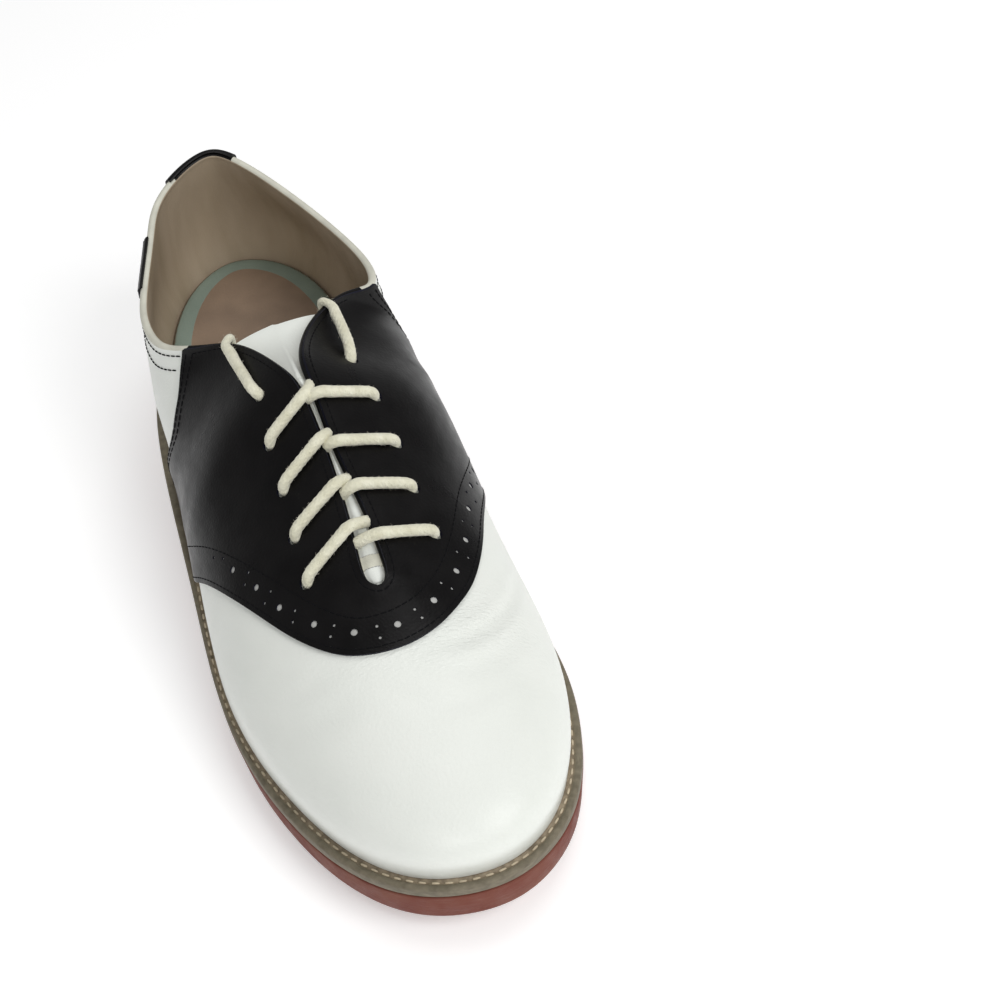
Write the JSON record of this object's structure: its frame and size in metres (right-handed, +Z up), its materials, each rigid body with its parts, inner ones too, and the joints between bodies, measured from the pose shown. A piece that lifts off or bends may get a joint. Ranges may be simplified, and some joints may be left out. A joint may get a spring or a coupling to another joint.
{
  "type": "saddle shoe",
  "caption": "Low lace-up saddle shoe: white leather with a black perforated saddle over the instep, round toe, welt and a rubber sole with a low heel.",
  "frame": {"origin": "centre of the outline on the ground, under the shoe", "axes": "+Y from toe to heel, +X to the inner side of the foot, +Z up; the toe points to -Y"},
  "size_m": [0.0983, 0.28, 0.09],
  "materials": {
    "white_leather": "smooth white leather",
    "black_leather": "polished black leather",
    "rubber": "matt brick-red rubber",
    "welting": "matt taupe welting",
    "sock": "tan sock leather",
    "cotton": "round cotton lace"
  },
  "bodies": {
    "root": {"outsole": "rubber", "heel": "rubber", "welt": "welting", "insole": "sock", "upper": "white_leather", "saddle": "black_leather", "tongue": "white_leather", "lace_row_1": "cotton", "lace_row_2": "cotton", "lace_row_3": "cotton", "lace_row_4": "cotton", "lace_end_lateral": "cotton", "lace_end_medial": "cotton"}
  },
  "joints": []
}
